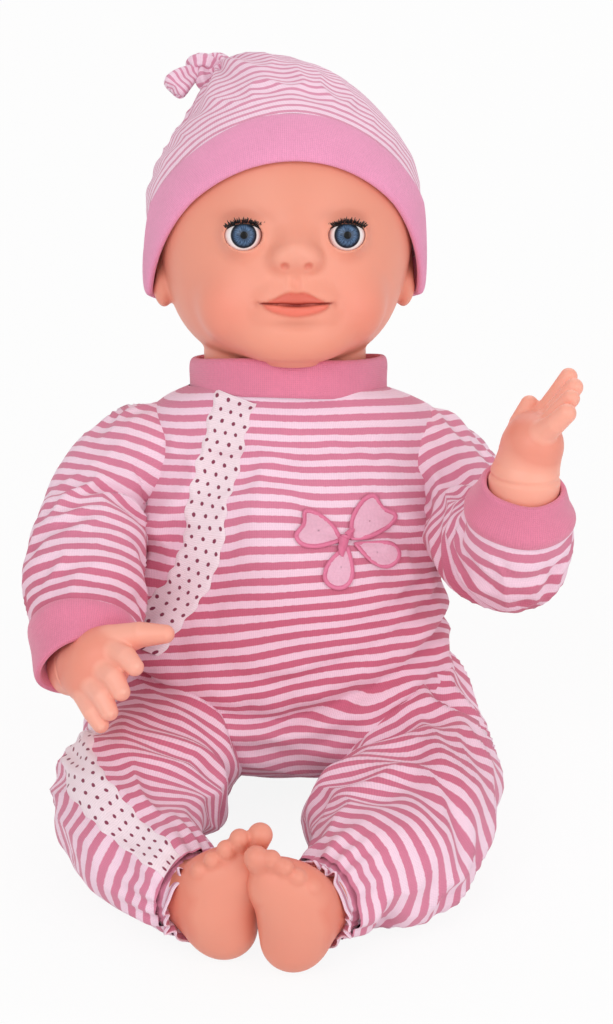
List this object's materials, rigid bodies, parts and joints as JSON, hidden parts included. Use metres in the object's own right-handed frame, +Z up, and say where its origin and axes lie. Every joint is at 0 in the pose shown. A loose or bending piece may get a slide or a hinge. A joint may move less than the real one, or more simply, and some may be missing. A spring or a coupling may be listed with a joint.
{
  "type": "interactive baby doll",
  "caption": "Soft-bodied seated baby doll with a vinyl head, hands and feet, sleeping eyes, a striped romper, a knotted hat and a press-to-talk sound module.",
  "frame": {"origin": "on the flat seat that the doll sits on, midway between the hip centres", "axes": "+Z up, the face looks along -Y, the left arm is on +X"},
  "size_m": [0.2169, 0.2784, 0.2916],
  "materials": {
    "vinyl_skin": "soft vinyl with a satin surface",
    "striped_jersey": "fine knit with pink and pale stripes",
    "pink_rib": "plain pink rib knit",
    "dotted_ribbon": "pale grosgrain with small dark red dots",
    "applique": "pale pink cloth with satin stitched edges",
    "closure_tape": "hook and loop tape",
    "body_cloth": "plain woven cloth over filling",
    "white_plastic": "plain moulded plastic",
    "eye_gloss": "glossy eyeball with a blue grey iris",
    "black_bristle": "black bristle",
    "steel": "plain steel",
    "dark_plastic": "dark plastic and card",
    "board_green": "printed board",
    "cell_wrap": "plain wrapped cells",
    "button_red": "moulded button"
  },
  "bodies": {
    "torso": {"torso_body": "body_cloth", "bodice": "striped_jersey", "collar": "pink_rib", "back_closure": "closure_tape", "body_flap": "body_cloth", "front_ribbon": "dotted_ribbon", "butterfly_patch": "applique", "neck_plug": "white_plastic", "module_front": "white_plastic", "module_back": "white_plastic", "speaker": "dark_plastic", "circuit_board": "board_green", "battery_cells": "cell_wrap", "contact_springs": "steel", "contact_plates": "steel", "battery_door": "white_plastic", "door_screw": "steel", "case_screws": "steel", "button_spring": "steel"},
    "button": {"tummy_button": "button_red"},
    "switch": {"power_switch": "dark_plastic"},
    "head": {"head_shell": "vinyl_skin", "neck_ring": "white_plastic", "left_eye_cup": "white_plastic", "right_eye_cup": "white_plastic"},
    "hat": {"hat_crown": "striped_jersey", "hat_brim": "pink_rib", "hat_knot": "striped_jersey"},
    "left_eye": {"left_eyeball": "eye_gloss", "left_eye_weight": "steel", "left_lashes": "black_bristle"},
    "right_eye": {"right_eyeball": "eye_gloss", "right_eye_weight": "steel", "right_lashes": "black_bristle"},
    "left_arm": {"left_arm_stuffing": "body_cloth", "left_sleeve": "striped_jersey", "left_cuff": "pink_rib", "left_wrist_gather": "body_cloth"},
    "left_hand": {"left_hand": "vinyl_skin"},
    "right_arm": {"right_arm_stuffing": "body_cloth", "right_sleeve": "striped_jersey", "right_cuff": "pink_rib", "right_wrist_gather": "body_cloth"},
    "right_hand": {"right_hand": "vinyl_skin"},
    "left_leg": {"left_leg_stuffing": "body_cloth", "left_trouser": "striped_jersey", "left_hem": "striped_jersey", "left_ankle_gather": "body_cloth", "left_foot": "vinyl_skin"},
    "right_leg": {"right_leg_stuffing": "body_cloth", "right_trouser": "striped_jersey", "right_hem": "striped_jersey", "right_ankle_gather": "body_cloth", "right_foot": "vinyl_skin", "leg_ribbon": "dotted_ribbon"}
  },
  "joints": [
    {"name": "head_turn", "type": "hinge", "parent": "torso", "child": "head", "pos_m": [0, 0.04224, 0.15005], "axis": [0, 0.342, 0.9397], "range_deg": [-60, 60]},
    {"name": "hat_lift", "type": "slide", "parent": "head", "child": "hat", "axis": [0, 0.342, 0.9397], "range_m": [0, 0.1]},
    {"name": "left_eye_roll", "type": "hinge", "parent": "head", "child": "left_eye", "pos_m": [0.02421, 0.02548, 0.23213], "axis": [0.9962, 0.0819, -0.0298], "range_deg": [0, 70]},
    {"name": "right_eye_roll", "type": "hinge", "parent": "head", "child": "right_eye", "pos_m": [-0.01623, 0.02216, 0.23334], "axis": [0.9962, 0.0819, -0.0298], "range_deg": [0, 70]},
    {"name": "left_shoulder", "type": "hinge", "parent": "torso", "child": "left_arm", "pos_m": [0.0563, 0.03557, 0.13173], "axis": [-1, 0, 0], "range_deg": [-30, 30]},
    {"name": "right_shoulder", "type": "hinge", "parent": "torso", "child": "right_arm", "pos_m": [-0.0563, 0.03557, 0.13173], "axis": [-1, 0, 0], "range_deg": [0, 70]},
    {"name": "left_wrist_twist", "type": "hinge", "parent": "left_arm", "child": "left_hand", "pos_m": [0.0918, -0.02868, 0.13649], "axis": [0.0802, -0.1761, 0.9811], "range_deg": [-20, 20]},
    {"name": "right_wrist_twist", "type": "hinge", "parent": "right_arm", "child": "right_hand", "pos_m": [-0.0793, -0.03459, 0.08809], "axis": [0, -0.8565, -0.5161], "range_deg": [-20, 20]},
    {"name": "left_leg_spread", "type": "hinge", "parent": "torso", "child": "left_leg", "pos_m": [0.038, 0, 0.0305], "axis": [0, 0, 1], "range_deg": [0, 25]},
    {"name": "right_leg_spread", "type": "hinge", "parent": "torso", "child": "right_leg", "pos_m": [-0.038, 0, 0.0305], "axis": [0, 0, -1], "range_deg": [0, 25]},
    {"name": "tummy_button_press", "type": "slide", "parent": "torso", "child": "button", "axis": [0, 0.9397, -0.342], "range_m": [0, 0.003], "stiffness_N_per_m": 300, "springref_m": -0.002, "deforming": ["button_spring"]},
    {"name": "power_switch_slide", "type": "slide", "parent": "torso", "child": "switch", "axis": [1, 0, 0], "range_m": [0, 0.004]}
  ]
}
